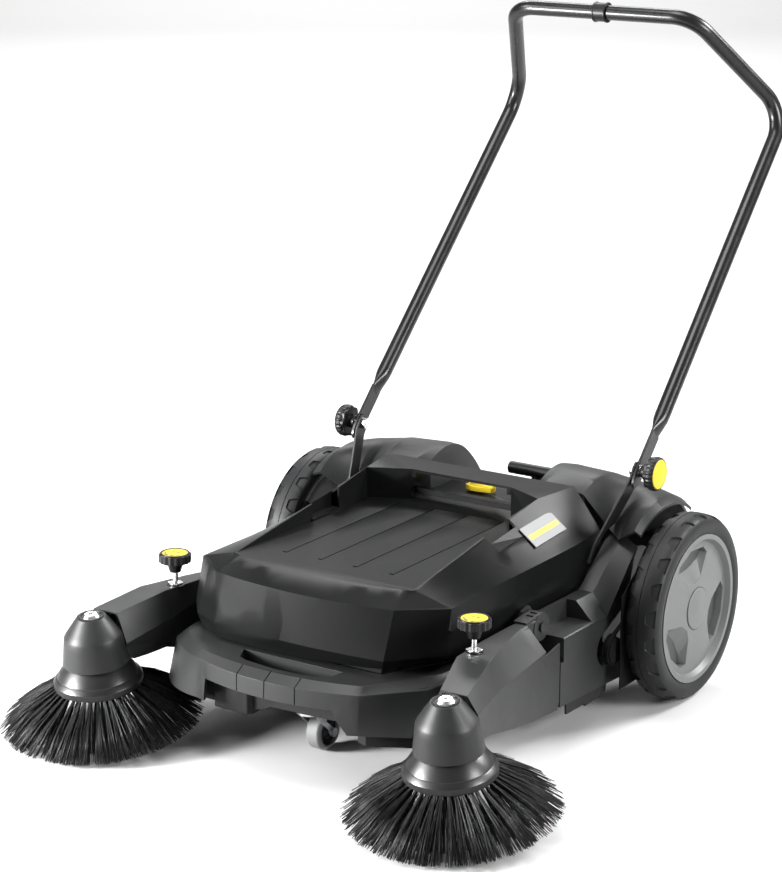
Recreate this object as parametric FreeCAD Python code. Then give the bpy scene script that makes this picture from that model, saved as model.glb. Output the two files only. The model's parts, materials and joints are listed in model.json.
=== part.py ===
"""Walk-behind sweeper with two side brushes, a lift-off hopper and a folding push handle.

Millimetres, +Z up, front of the machine towards -Y, symmetry plane x = 0, floor at z = 0.
The shapes are drawn with the wheel axle at y = 0 and moved by AXLE_Y when they are written out.
"""
import math
import os

import FreeCAD
import Part

V = FreeCAD.Vector

# ---------------------------------------------------------------- driving dimensions
AXLE_Y = 149.5            # wheel axle in the exported frame
WHEEL_R, WHEEL_X = 149.5, 374.0
TYRE_W, RIM_R = 56.0, 119.0
AXLE_R, RUN = 8.0, 0.05   # axle radius and running clearance
ROLLER_Y, ROLLER_Z, ROLLER_R, ROLLER_HALF = -150.0, 113.0, 110.0, 200.0
BRUSH_X, BRUSH_Y, BRUSH_Z, BRUSH_TILT = 317.0, -641.0, 92.0, 7.0
RING_R, TIP_R, BRISTLE_DROP = 68.0, 157.0, 72.0
ARM_PIN_Y, ARM_PIN_Z = -308.0, 190.0
KNOB_X, KNOB_Y, KNOB_TOP = 271.0, -506.0, 263.0
HOPPER_Z = 165.0          # lower edge of the hopper cover
BUMPER_Z, BUMPER_FACE, BUMPER_TOP = 90.0, 152.0, 162.0
PAN_Z = 86.0              # underside of the floor pan over the caster
BOLT_Y, BOLT_Z = -8.0, 360.0
LEG_TOP = (258.0, 490.0, 863.0)
BAR_END = (169.0, 318.0, 1032.0)
TUBE_R = 12.5
FOLD_X, FOLD_Z, TOP_Z, DISH_Z = 225.0, 264.0, 332.0, 281.0
SIDE_IN, SIDE_RIDGE, SIDE_OUT = 236.0, 260.0, 290.0
CASTER_Y, CASTER_TRAIL, CASTER_R = -530.0, 32.0, 30.0
DECK_Z = 250.0

parts = {}


# ---------------------------------------------------------------- helpers
def box(x0, x1, y0, y1, z0, z1):
    return Part.makeBox(x1 - x0, y1 - y0, z1 - z0, V(x0, y0, z0))


def rod(r, a, b):
    d = V(*b) - V(*a)
    return Part.makeCylinder(r, d.Length, V(*a), d)


def wire(points):
    return Part.makePolygon([V(*p) for p in points] + [V(*points[0])])


def prism(points, direction):
    return Part.Face(wire(points)).extrude(V(*direction))


def side_prism(yz, x0, x1):
    return prism([(x0, y, z) for y, z in yz], (x1 - x0, 0, 0))


def plan_prism(xy, z0, z1):
    return prism([(x, y, z0) for x, y in xy], (0, 0, z1 - z0))


def loft(sections):
    return Part.makeLoft([wire(s) for s in sections], True, True)


def curved(points, z):
    """Closed wire at height z that ends with an arc, given as its (through, end) points."""
    edges, last = [], V(*points[0], z)
    for p in points[1:]:
        if isinstance(p[0], tuple):
            through, end = V(*p[0], z), V(*p[1], z)
            edges.append(Part.Arc(last, through, end).toShape())
        else:
            end = V(*p, z)
            edges.append(Part.makeLine(last, end))
        last = end
    return Part.Wire(edges)


def inset(points, t):
    """The same outline moved inwards by about t, from the front, the sides and the rear."""
    def moved(q):
        return (q[0] - math.copysign(min(t, abs(q[0])), q[0]), q[1] + (t if q[1] < -250 else -t))
    return [tuple(moved(q) for q in p) if isinstance(p[0], tuple) else moved(p) for p in points]


def mirrored(shape):
    return shape.mirror(V(0, 0, 0), V(1, 0, 0))


def both(half):
    """Closed outline from its x > 0 half, front to rear."""
    return half + [(-x, y) for x, y in reversed(half)]


def revolved_x(xr, y, z):
    """Solid of revolution about an axis along X; xr are (x, radius) pairs."""
    face = Part.Face(wire([(x, y, z + r) for x, r in xr]))
    return face.revolve(V(0, y, z), V(1, 0, 0), 360)


def pair(name, shape):
    parts[name + "_L"] = shape
    parts[name + "_R"] = mirrored(shape)


# ---------------------------------------------------------------- drive wheels and axle
def tyre():
    o, i = WHEEL_X, WHEEL_X - TYRE_W
    body = revolved_x([(i, RIM_R + 0.2), (i, WHEEL_R - 14), (i + 6, WHEEL_R - 2), (i + 20, WHEEL_R),
                       (o - 20, WHEEL_R), (o - 6, WHEEL_R - 4), (o, WHEEL_R - 16), (o, RIM_R + 0.2)], 0, 150)
    groove = revolved_x([(i + 23, WHEEL_R - 4), (i + 23, WHEEL_R + 2), (i + 27, WHEEL_R + 2),
                         (i + 27, WHEEL_R - 4)], 0, 150)
    return body.cut(groove)


def rim():
    """Dished wheel centre with three shallow windows and a bore that runs on the axle."""
    o, i = WHEEL_X, WHEEL_X - TYRE_W
    body = revolved_x([(i + 2, AXLE_R + RUN), (i + 2, 26), (o - 20, 34), (o - 20, 100), (i + 4, 108),
                       (i + 4, RIM_R), (o - 1, RIM_R), (o - 1, RIM_R - 8), (o - 9, RIM_R - 13),
                       (o - 4, 36), (o - 4, AXLE_R + RUN)], 0, 150)
    mouth = [(-19, 48), (0, 43), (19, 48), (50, 75), (41, 90), (0, 100), (-41, 90), (-50, 75)]
    floor = [(-33, 71), (0, 67), (33, 71), (45, 79), (37, 88), (0, 96), (-37, 88), (-45, 79)]
    for k in range(3):
        window = loft([[(x, y, z) for y, z in ring] for x, ring in ((o - 18, floor), (o - 5, mouth))])
        window = window.fuse(side_prism(mouth, o - 5.01, o + 4))
        window.translate(V(0, 0, 150))
        window.rotate(V(0, 0, 150), V(1, 0, 0), 10 + 120 * k)
        body = body.cut(window)
    return body


pair("tyre", tyre())
pair("rim", rim())
parts["axle_rod"] = rod(AXLE_R, (-WHEEL_X + 6, 0, 150), (WHEEL_X - 6, 0, 150))
# The drive pulley is keyed to the left wheel and runs on the same axle.
parts["drive_pulley"] = revolved_x([(296, AXLE_R + RUN), (296, 46), (299, 46), (299, 42), (311, 42),
                                    (311, 46), (314, 46), (314, 26), (WHEEL_X - TYRE_W + 2, 26),
                                    (WHEEL_X - TYRE_W + 2, AXLE_R + RUN)], 0, 150)


# ---------------------------------------------------------------- main sweeping roller
core = revolved_x([(-ROLLER_HALF, 7), (-ROLLER_HALF, 55), (ROLLER_HALF, 55), (ROLLER_HALF, 7)],
                  ROLLER_Y, ROLLER_Z)
spindle = rod(8, (-216, ROLLER_Y, ROLLER_Z), (308, ROLLER_Y, ROLLER_Z))
roller_pulley = revolved_x([(296, 0), (296, 24), (299, 24), (299, 20), (308, 20), (308, 0)],
                           ROLLER_Y, ROLLER_Z)
parts["roller_core"] = core.fuse([spindle, roller_pulley]).removeSplitter()
half_len = ROLLER_HALF - 2
rows = revolved_x([(-half_len, 55), (-half_len, 58), (half_len, 58), (half_len, 55)], ROLLER_Y, ROLLER_Z)
for k in range(10):
    row = box(-half_len, half_len, -5, 5, 57, ROLLER_R)
    row.translate(V(0, ROLLER_Y, ROLLER_Z))
    row.rotate(V(0, ROLLER_Y, ROLLER_Z), V(1, 0, 0), 36 * k)
    rows = rows.fuse(row)
parts["roller_bristles"] = rows.removeSplitter()

# Belt round both pulleys: two wraps and two straight runs.
gap = math.hypot(ROLLER_Y, 150 - ROLLER_Z)
axis_dir = math.atan2(ROLLER_Z - 150, ROLLER_Y)


def belt_outline(extra):
    """Stadium-like outline round the big pulley (origin) and the small one (along +u)."""
    big, small = 42 + extra, 20 + extra
    lean = math.acos((big - small) / gap)
    pts = []
    for k in range(25):
        a = lean + (2 * math.pi - 2 * lean) * k / 24
        pts.append((big * math.cos(a), big * math.sin(a)))
    for k in range(25):
        a = -lean + 2 * lean * k / 24
        pts.append((gap + small * math.cos(a), small * math.sin(a)))
    c, s = math.cos(axis_dir), math.sin(axis_dir)
    return [(u * c - v * s, 150 + u * s + v * c) for u, v in pts]


parts["drive_belt"] = side_prism(belt_outline(3.4), 300, 306).cut(side_prism(belt_outline(0.4), 299, 307))


# ---------------------------------------------------------------- hopper (one lift-off body)
def hopper_solid(t):
    """Outer form of the hopper cover, inset by t on every side except below."""
    s = t * 0.9
    # Right side (x < 0) full at the foot, left side (x > 0) cut under for the arm.
    foot = [(139, -546), (189, -468), (205, -400), (212, -56), (-212, -56), (-225, -330), (-236, -440),
            (-232, -500), (-195, -535), (-150, -556), ((0, -562), (139, -546))]
    waist = [(153, -563), (216, -492), (223, -420), (224, -56), (-224, -56), (-226, -330), (-239, -440),
             (-238, -498), (-200, -543), (-153, -563), ((0, -573), (153, -563))]
    fold = [(160, -546), (FOLD_X, -494), (FOLD_X, -420), (FOLD_X, -56), (-FOLD_X, -56), (-FOLD_X, -330),
            (-FOLD_X, -440), (-FOLD_X, -494), (-192, -521), (-160, -546), ((0, -563), (160, -546))]
    base = Part.makeLoft([curved(inset(points, t), z) for z, points in (
        (HOPPER_Z - 3 * t, foot), (190, waist), (FOLD_Z - s, fold))], True, True)
    secs = []
    for y, zf, xi, zi in ((-494 + t, FOLD_Z, 161, DISH_Z), (-143, FOLD_Z, 161, TOP_Z - 1), (-56 - t, 268, 176, TOP_Z)):
        half = [(FOLD_X - t, y, 230), (FOLD_X - t, y, zf - s), (xi - s * 0.6, y, zi - t)]
        secs.append(half + [(-x, yy, z) for x, yy, z in reversed(half)])
    top = loft(secs)
    # Sloping strip between the front fold and the dish, with a corner facet at each end.
    rail = [(160, -546), (FOLD_X, -494), (-FOLD_X, -494), (-160, -546), ((0, -563), (160, -546))]
    lip = [(160, -499), (161, -494), (-161, -494), (-160, -499), ((0, -530), (160, -499))]
    bevel = Part.makeLoft([curved(inset(rail, t), FOLD_Z - s), curved(inset(lip, t), DISH_Z - t)], True, True)
    return base.fuse([top, bevel])


def hopper_cover():
    skin = hopper_solid(0).cut(hopper_solid(3.5))
    # Dish: its floor lies below the inner edge of the side bands and runs on under the carrying beam.
    dish_half = [(160.5, -498), (157, -225), (160.5, -143), (94, -113), (94, -56)]
    dish = plan_prism(both(dish_half), DISH_Z, 400)
    plateau = plan_prism(both([(94, -113), (94, -54)]), 318, 400)
    front = [(164, -498), (164, -140), (98, -108), (98, 18), (-98, 18), (-98, -108), (-164, -140),
             (-164, -498), ((0, -528), (164, -498))]
    tray = Part.Face(curved(front, DISH_Z - 3.5)).extrude(V(0, 0, 3.5))
    walls = plan_prism(both([(164, -497), (160, -225), (164, -140), (98, -108), (98, -56)]),
                       DISH_Z - 3.5, TOP_Z + 6).common(hopper_solid(0))
    inner = plan_prism(both([(160.5, -493), (156.5, -225), (160.5, -143), (94, -113), (94, -50)]),
                       DISH_Z, 420)
    beam_keep = box(-97, 97, -113, -56, 318, TOP_Z).common(hopper_solid(0))
    body = skin.cut(dish.cut(plateau)).fuse([walls.cut(inner.cut(plateau)), tray, beam_keep])
    body = body.cut(box(-94, 94, -60, -40, DISH_Z, 318))
    crossbar = box(-95, 95, -104, -92, 289, 299)
    body = body.fuse(crossbar)
    for sx in (1, -1):
        for gx in (32, 97):
            groove = box(sx * gx - 1, sx * gx + 1, -452, -140, DISH_Z - 1.4, DISH_Z + 1)
            body = body.cut([groove, box(sx * gx - 7, sx * gx + 1, -455, -451, DISH_Z - 2, DISH_Z + 1)])
        # Finger pocket in the inner edge of each side band.
        xs = sorted((sx * 156, sx * 186))
        body = body.cut(box(xs[0], xs[1], -300, -228, DISH_Z + 4, 340))
        shelf = box(min(sx * 155, sx * 190), max(sx * 155, sx * 190), -303, -225, DISH_Z, DISH_Z + 4)
        body = body.fuse(shelf.common(hopper_solid(0)))
        block = plan_prism([(sx * 98, -109), (sx * 164, -139), (sx * 164, -60), (sx * 98, -60)],
                           DISH_Z - 3.5, DISH_Z)
        body = body.fuse(block)
    # Clearance over the roller housing.
    tunnel = rod(126, (-212, ROLLER_Y, ROLLER_Z), (212, ROLLER_Y, ROLLER_Z))
    return body.cut(tunnel).removeSplitter()


def hopper_bin():
    """Open tub that hangs below the cover in front of the roller."""
    outer = loft([[(x, y, z) for x, y in both(h)] for z, h in (
        (52, [(118, -420), (166, -398), (188, -352), (192, -286)]),
        (164.9, [(134, -540), (183, -450), (200, -370), (200, -286)]))])
    inner = loft([[(x, y, z) for x, y in both(h)] for z, h in (
        (55, [(115, -417), (163, -396), (185, -352), (189, -289)]),
        (170, [(131, -537), (180, -449), (197, -370), (197, -289)]))])
    tub = outer.cut(inner)
    collar = plan_prism(both([(134, -540), (183, -450), (200, -370), (200, -286)]), 160, 174)
    collar = collar.cut(plan_prism(both([(131, -537), (180, -449), (197, -370), (197, -289)]), 150, 190))
    return tub.fuse(collar).removeSplitter()


KNOB_SEAT = (-22.0, -16.0)
parts["hopper_cover"] = hopper_cover().cut(rod(4 + RUN, (*KNOB_SEAT, 270), (*KNOB_SEAT, 290)))
parts["hopper_bin"] = hopper_bin()
latch = plan_prism([(-46, -24), (-30, -30), (2, -24), (6, -16), (2, -8), (-30, -2), (-46, -8)], 284, 292)
latch = latch.fuse(plan_prism([(-40, -19.5), (4, -21), (4, -11), (-40, -12.5)], 292, 297))
parts["latch_knob"] = latch.fuse(rod(4, (*KNOB_SEAT, 266), (*KNOB_SEAT, 285))).removeSplitter()
# Plain plate on the left side band, parallel to the band where it sits.
plate = box(-19, 19, -46, 46, 0, 1.2)
plate.rotate(V(0, 0, 0), V(0, 1, 0), 39)
plate.rotate(V(0, 0, 0), V(1, 0, 0), 3.5)
plate.translate(V(193, -182, 296.6))
parts["band_plate"] = plate


# ---------------------------------------------------------------- chassis
def bumper_levels():
    """Outlines at the foot, the top of the face and the crown: full on the right side, cut back on the left."""
    foot = [(143, -615), (212, -578), (236, -470), (235.5, -290.5), (-235.5, -290.5), (-238, -470),
            (-233, -575), ((-198, -604), (-143, -620)), ((0, -645), (143, -615))]
    face = [(144, -615), (216, -540), (234, -420), (235.5, -290.5), (-235.5, -290.5), (-238, -470),
            (-228, -560), ((-190, -594), (-142, -618)), ((0, -643), (144, -615))]
    crown = [(143, -601), (208, -501), (226, -400), (232, -290.5), (-232, -290.5), (-233, -460),
             (-222, -535), ((-185, -576), (-139, -607)), ((0, -626), (143, -601))]
    return ((BUMPER_Z, foot), (BUMPER_FACE, face), (BUMPER_TOP, crown))


def bumper():
    levels = bumper_levels()
    body = Part.makeLoft([curved(points, z) for z, points in levels], True, True)
    # Open in the middle for the hopper, and hollow from below behind a 4 mm wall and an 8 mm flange.
    middle = both([(138, -547), (187, -453), (204, -372), (204, -250)])
    body = body.cut(plan_prism(middle, 60, 200))
    hollow = Part.makeLoft([curved(inset(levels[k][1], 4), z) for k, z in ((0, 70), (1, BUMPER_TOP - 8))], True, True)
    # Closed pocket for the fingers behind the front edge.
    grip = [(-92, -570), (-78, -599), (-62, -606), (-8, -613), (40, -611), (64, -606), (82, -596), (86, -570)]
    cup = [(-96, -567), (-81, -602), (-63, -609), (-8, -616), (41, -614), (66, -609), (84, -599), (90, -567)]
    body = body.cut(hollow.cut([plan_prism(cup, 126, 200), box(-240, 240, -300, -280, 60, 200)]))
    arch = prism([(-131, -700, 50), (-124, -700, 126), (107, -700, 126), (113, -700, 112), (127, -700, 92),
                  (128, -700, 50)], (0, 142, 0))
    body = body.cut([plan_prism(grip, 129, 180), arch.cut(plan_prism(cup, 125.9, 130))])
    for x in (-54, -2, 50):
        body = body.cut(box(x - 0.8, x + 0.8, -660, -622, 124, BUMPER_TOP + 2))
    return body.removeSplitter()


def chin():
    """Hollow block below the right half of the bumper's arch, with an apron that runs on to the left."""
    block = plan_prism([(-128, -598), (-66, -600), (-60, -592), (-60, -568), (-128, -568)], 72, 124)
    block = block.cut(box(-125, -63, -596, -567, 50, 121))
    apron = prism([(-62, -589, 124), (-62, -589, 78), (-46, -589, 81), (-30, -589, 88), (24, -589, 90),
                   (104, -589, 92), (112, -589, 108), (106, -589, 124)], (0, 3, 0))
    return block.fuse(apron).removeSplitter()


def side_frame():
    """Plastic side housing: low block, sloping column and wheel-arch edge, with a bevelled outer edge."""
    ridge = [(-289, 60), (-289, 198), (-141, 196), (-62, 255), (-40, 262), (-64, 236), (-94, 136), (-96, 50)]
    outer = [(-289, 60), (-289, 167), (-147, 165), (-66, 244), (-52, 250), (-64, 236), (-94, 136), (-96, 50)]
    flat = [[(x, y, z) for y, z in ridge] for x in (SIDE_IN, SIDE_RIDGE)]
    body = loft(flat).fuse(loft([[(SIDE_RIDGE, y, z) for y, z in ridge], [(SIDE_OUT, y, z) for y, z in outer]]))
    hollow = side_prism([(-270, 54), (-270, 160), (-146, 158), (-96, 200), (-99, 136), (-101, 40)],
                        SIDE_IN + 4, SIDE_OUT - 4)
    pocket = box(SIDE_IN + 7.5, SIDE_OUT + 5, -295, -192, 168, 230)
    slot = box(SIDE_IN + 7.5, SIDE_OUT + 5, -295, -280, 130, 230)
    body = body.cut([hollow, pocket, slot])
    ear = side_prism([(-289, 120), (-320, 168), (-332, 190), (-320, 212), (-300, 216), (-286, 198)],
                     SIDE_IN, SIDE_IN + 5.4)
    rear_wall = side_prism([(-102, 46), (120, 46), (150, 90), (150, 170), (60, 215), (-40, 236),
                            (-64, 236), (-94, 136)], SIDE_IN, SIDE_IN + 5)
    body = body.fuse([ear, rear_wall])
    body = body.cut([rod(5, (SIDE_IN - 2, ARM_PIN_Y, ARM_PIN_Z), (SIDE_IN + 8, ARM_PIN_Y, ARM_PIN_Z)),
                     rod(AXLE_R, (SIDE_IN - 2, 0, 150), (SIDE_IN + 8, 0, 150)),
                     side_prism(belt_outline(7), SIDE_IN + 20, SIDE_OUT + 20)])
    body = body.cut(rod(10, (SIDE_IN - 2, ROLLER_Y, ROLLER_Z), (SIDE_OUT + 2, ROLLER_Y, ROLLER_Z)))
    return body.removeSplitter()


def fender():
    """Hump over the roller drive that runs out over the wheel."""
    secs = ((104, [(-52, 318), (-20, 334), (18, 340), (55, 331), (84, 310), (112, 280), (134, 246), (150, 200)], 4),
            (122, [(-52, 331), (-20, 337), (18, 341), (55, 333), (88, 312), (116, 280), (138, 246), (152, 200)], 4),
            (190, [(-52, 320), (-18, 333), (18, 338), (55, 330), (90, 309), (120, 278), (142, 244), (156, 200)], 4),
            (232, [(-48, 275), (-22, 304), (14, 327), (55, 324), (92, 303), (124, 272), (146, 238), (160, 196)], 4),
            (262, [(-64, 261), (-36, 291), (6, 321), (52, 320), (92, 298), (126, 264), (148, 230), (160, 190)], 4),
            (298, [(-80, 286), (-50, 305), (-5, 316), (48, 312), (96, 287), (120, 262), (138, 232), (148, 190)], 4),
            (311, [(-84, 282), (-52, 299), (-4, 308), (46, 304), (92, 280), (118, 255), (134, 228), (143, 190)], 4))
    wires = []
    for x, top, t in secs:
        upper = [V(x, y, z) for y, z in top]
        under = [V(x, y + (2 if y < 0 else -3), z - t) for y, z in top]
        a, b = Part.BSplineCurve(), Part.BSplineCurve()
        a.interpolate(upper)
        b.interpolate(list(reversed(under)))
        edges = [a.toShape(), Part.makeLine(upper[-1], under[-1]), b.toShape(), Part.makeLine(under[0], upper[0])]
        wires.append(Part.Wire(edges))
    shell = Part.makeLoft(wires, True, True)
    x, top, t = secs[0]
    wall = side_prism([(y, z - 1) for y, z in top] + [(150, 160), (-34, 160), (-52, 188)], 104, 108)
    front = plan_prism([(108, -52), (190, -52), (190, -48.5), (108, -48.5)], 236, 319)
    end = side_prism([(143, 160), (147, 160), (160, 190), (148, 200)], 108, SIDE_IN)
    body = shell.fuse([wall, front, end])
    return body.cut(box(286, 330, 86, 200, 100, 400)).removeSplitter()


parts["bumper"] = bumper()
pair("side_frame", side_frame())
pair("fender", fender())
deck = box(-103.7, 103.7, 22, 150, DECK_Z - 4, DECK_Z).fuse([
    box(-103.7, 103.7, 146, 150, 120, DECK_Z), box(-103.7, 103.7, 22, 26, 200, DECK_Z),
    rod(14, (0, 128, DECK_Z), (0, 128, DECK_Z + 6))])
parts["rear_deck"] = deck.cut(rod(6 + RUN, (0, 128, 200), (0, 128, 300))).removeSplitter()


def roller_housing():
    """Curved hood round the back and top of the roller, with end cheeks and spindle bearings."""
    hood = rod(121, (-211, ROLLER_Y, ROLLER_Z), (211, ROLLER_Y, ROLLER_Z))
    hood = hood.cut(rod(118, (-207, ROLLER_Y, ROLLER_Z), (207, ROLLER_Y, ROLLER_Z)))
    hood = hood.cut([box(-230, 230, -300, -150, -20, 190), box(-230, 230, -300, 0, -20, 58)])
    for sx in (-1, 1):
        x0, x1 = sorted((sx * 207, sx * 211))
        hood = hood.fuse(box(x0, x1, -180, -120, 90, 190).common(rod(121, (-211, ROLLER_Y, ROLLER_Z),
                                                                    (211, ROLLER_Y, ROLLER_Z))))
        x0, x1 = sorted((sx * 211, sx * (SIDE_IN - 0.2)))
        hood = hood.fuse(box(x0, x1, -100, -60, 120, 150))
    hood = hood.cut(rod(8 + RUN, (-230, ROLLER_Y, ROLLER_Z), (230, ROLLER_Y, ROLLER_Z)))
    return hood.removeSplitter()


parts["roller_housing"] = roller_housing()


def belly_pan():
    """Floor under the hopper; raised in front over the caster, with a low wall along each side."""
    lip = PAN_Z + 3
    profile = [(-568, PAN_Z), (-568, 124), (-565, 124), (-565, lip), (-462, lip), (-428, 47), (-288, 47),
               (-288, 44), (-430, 44), (-465, PAN_Z)]
    plan = [(140, -570), (182, -470), (214, -380), (225, -288)]
    pan = side_prism(profile, -240, 240).common(plan_prism(both(plan), 0, 200))
    pan = pan.cut(rod(6.5, (0, CASTER_Y, 60), (0, CASTER_Y, 100)))
    for sx in (1, -1):
        pan = pan.fuse(plan_prism([(sx * 182, -470), (sx * 214, -380), (sx * 225, -288), (sx * 221, -288),
                                   (sx * 210, -380), (sx * 178, -469)], 44, PAN_Z + 3))
    # Flare that shows below the slanting side of the bumper.
    flare = plan_prism([(126, -572), (128, -592), (146, -599), (208, -567), (206, -561), (147, -590),
                        (136, -580), (136, -566)], 70, PAN_Z + 3)
    return pan.fuse(flare).removeSplitter()


parts["chin"] = chin()
parts["belly_pan"] = belly_pan()


# ---------------------------------------------------------------- side brush arms
def arm_sections(t):
    """Cross sections from the hinge to the brush hub, inset by t; the underside is left open."""
    rows = ((-292, [(242, 84), (242, 188), (247, 200), (264, 203), (290, 168), (290, 70), (286, 52)]),
            (-375, [(243, 92), (244, 194), (250, 207), (269, 206), (305, 171), (299, 76), (295, 60)]),
            (-460, [(246, 118), (245, 188), (256, 211), (290, 210), (320, 174), (311, 88), (307, 76)]),
            (-540, [(258, 130), (253, 170), (263, 213), (314, 210), (334, 176), (328, 112), (325, 105)]),
            (-625, [(280, 134), (272, 151), (290, 196), (334, 196), (352, 172), (348, 136), (347, 132)]))
    out = []
    for y, pts in rows:
        cx = sum(p[0] for p in pts) / len(pts)
        out.append([(x + (t if x < cx else -t), y, z - (t if z > 150 else 12 * t)) for x, z in pts])
    return out


def tilted(shape, x=BRUSH_X, y=BRUSH_Y, z=BRUSH_Z):
    """Place a shape drawn about the Z axis on the forward-leaning brush axis."""
    out = shape.copy()
    out.rotate(V(0, 0, 0), V(1, 0, 0), BRUSH_TILT)
    out.translate(V(x, y, z))
    return out


def spun(rz):
    face = Part.Face(wire([(r, 0, z) for r, z in rz]))
    return face.revolve(V(0, 0, 0), V(0, 0, 1), 360)


def side_arm():
    nose = tilted(spun([(0, 29), (51, 29), (45, 71), (43, 75), (22, 103), (20, 103), (20, 101), (0, 101)]))
    hollow = tilted(spun([(0, 20), (47.5, 20), (41, 70), (39.5, 73), (19, 98), (0, 98)]))
    body = loft(arm_sections(0)).fuse(nose)
    body = body.cut([loft(arm_sections(3)), hollow])
    spigot = tilted(spun([(8 + RUN, 36), (13, 36), (13, 99), (8 + RUN, 99)]))
    body = body.cut([box(267, 310, -352, -280, 163, 240), box(230, 284.6, -340, -280, 40, 172)])
    knuckle = rod(22, (SIDE_IN + 8, ARM_PIN_Y, ARM_PIN_Z), (267, ARM_PIN_Y, ARM_PIN_Z))
    web = side_prism([(-352, 165), (-352, 208), (-308, 212), (-300, 172)], SIDE_IN + 8, 266)
    body = body.fuse([spigot, knuckle, web])
    cuts = [rod(5 + RUN, (SIDE_IN, ARM_PIN_Y, ARM_PIN_Z), (270, ARM_PIN_Y, ARM_PIN_Z)),
            rod(4 + RUN, (KNOB_X, KNOB_Y, 150), (KNOB_X, KNOB_Y, 230)),
            tilted(spun([(0, 92), (8 + RUN, 92), (8 + RUN, 104), (0, 104)]))]
    for y in (-326, -314):
        cuts.append(box(250, 262, y - 2.2, y + 2.2, 204, 216))
    return body.cut(cuts)


pair("side_arm", side_arm())
pair("arm_pin", rod(5, (SIDE_IN + 0.2, ARM_PIN_Y, ARM_PIN_Z), (269, ARM_PIN_Y, ARM_PIN_Z)).fuse(
    rod(8, (267.4, ARM_PIN_Y, ARM_PIN_Z), (270.5, ARM_PIN_Y, ARM_PIN_Z))).removeSplitter())

# Spindle, washer-headed cap screw and drive pulley are one turning piece with the brush disc.
disc = spun([(8, 27.5), (47, 27.5), (56, 18), (62, 8), (RING_R, 2), (RING_R, -9), (60, -12), (56, -3), (42, 12),
             (14, 12), (14, -12), (8, -12)])
pair("brush_disc", tilted(disc))
screw = spun([(0, -12), (8, -12), (8, 101.5), (13, 101.5), (13, 103), (9.5, 107), (0, 107)])
cross = box(-5.5, 5.5, -1.1, 1.1, 104, 108).fuse(box(-1.1, 1.1, -5.5, 5.5, 104, 108))
pair("brush_spindle", tilted(screw.cut(cross)))
bristles = spun([(57, -12.3), (60, -12.2), (RING_R - 1, -9.5), (TIP_R, -BRISTLE_DROP + 3),
                 (TIP_R - 4, -BRISTLE_DROP), (136, -BRISTLE_DROP), (57, -22)])
for k in range(12):
    slit = box(90, 170, -1.5, 1.5, -90, 0)
    slit.rotate(V(0, 0, 0), V(0, 0, 1), 30 * k)
    bristles = bristles.cut(slit)
pair("brush_bristles", tilted(bristles))


# ---------------------------------------------------------------- height knobs on the arms
def round_knob(r, h, lobes, depth):
    pts = []
    for k in range(lobes * 8):
        a = 2 * math.pi * k / (lobes * 8)
        rr = r - depth * (0.5 - 0.5 * math.cos(lobes * a))
        pts.append((rr * math.cos(a), rr * math.sin(a)))
    return plan_prism(pts, 0, h)


head = round_knob(25, 13, 16, 1.6).fuse(rod(9, (0, 0, -14), (0, 0, 0.5))).cut(rod(20, (0, 0, 11.5), (0, 0, 14)))
head.translate(V(KNOB_X, KNOB_Y, KNOB_TOP - 14))
pair("arm_knob", head.cut(rod(4, (KNOB_X, KNOB_Y, 230), (KNOB_X, KNOB_Y, 244))).removeSplitter())
pair("arm_knob_cap", rod(19.8, (KNOB_X, KNOB_Y, KNOB_TOP - 2.5), (KNOB_X, KNOB_Y, KNOB_TOP)))
stem = rod(4, (KNOB_X, KNOB_Y, 150), (KNOB_X, KNOB_Y, 244)).fuse(rod(10, (KNOB_X, KNOB_Y, 213.5),
                                                                   (KNOB_X, KNOB_Y, 215.5)))
pair("arm_knob_screw", stem.removeSplitter())


# ---------------------------------------------------------------- push handle
leg_dir = (V(*LEG_TOP) - V(264, BOLT_Y, BOLT_Z)).normalize()


def along(d):
    return V(266, BOLT_Y, BOLT_Z) + leg_dir * d


def handle_tube():
    """One half of the push handle: flattened foot with the bolt hole, leg, bent grip and half the bar."""
    corners = [along(70), V(*LEG_TOP), V(*BAR_END), V(0.2, BAR_END[1], BAR_END[2])]
    edges, start = [], corners[0]
    for k in (1, 2):
        a = (corners[k - 1] - corners[k]).normalize()
        b = (corners[k + 1] - corners[k]).normalize()
        half = math.acos(max(-1.0, min(1.0, a.dot(b)))) / 2
        bend = 55.0
        cut = bend / math.tan(half)
        p, q = corners[k] + a * cut, corners[k] + b * cut
        centre = corners[k] + (a + b).normalize() * (bend / math.sin(half))
        mid = centre + (corners[k] - centre).normalize() * bend
        edges += [Part.makeLine(start, p), Part.Arc(p, mid, q).toShape()]
        start = q
    edges.append(Part.makeLine(start, corners[3]))
    path = Part.Wire(edges)
    tangent = (corners[1] - corners[0]).normalize()
    ring = Part.Wire([Part.makeCircle(TUBE_R, corners[0], tangent)])
    tube = path.makePipeShell([ring], True, True)
    # Flattened foot: a strip in the YZ plane that reaches past the bolt.
    across = leg_dir.cross(V(1, 0, 0)).normalize() * 13
    a, b = along(-34), along(84)
    pts = [a - across, a + across, b + across * 0.8, b - across * 0.8]
    strip = prism([(263.7, p.y, p.z) for p in pts], (4.6, 0, 0))
    foot = strip.cut(rod(4.2, (255, BOLT_Y, BOLT_Z), (275, BOLT_Y, BOLT_Z)))
    return tube.fuse(foot).removeSplitter()


handle_half = handle_tube()
pair("handle_tube", handle_half)
bar_y, bar_z = BAR_END[1], BAR_END[2]
parts["handle_sleeve"] = rod(TUBE_R + 3.2, (-12, bar_y, bar_z), (12, bar_y, bar_z)).fuse([
    rod(TUBE_R + 4.4, (-12, bar_y, bar_z), (-9, bar_y, bar_z)),
    rod(TUBE_R + 4.4, (9, bar_y, bar_z), (12, bar_y, bar_z))]).cut(
        rod(TUBE_R + 0.05, (-13, bar_y, bar_z), (13, bar_y, bar_z))).removeSplitter()


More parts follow.
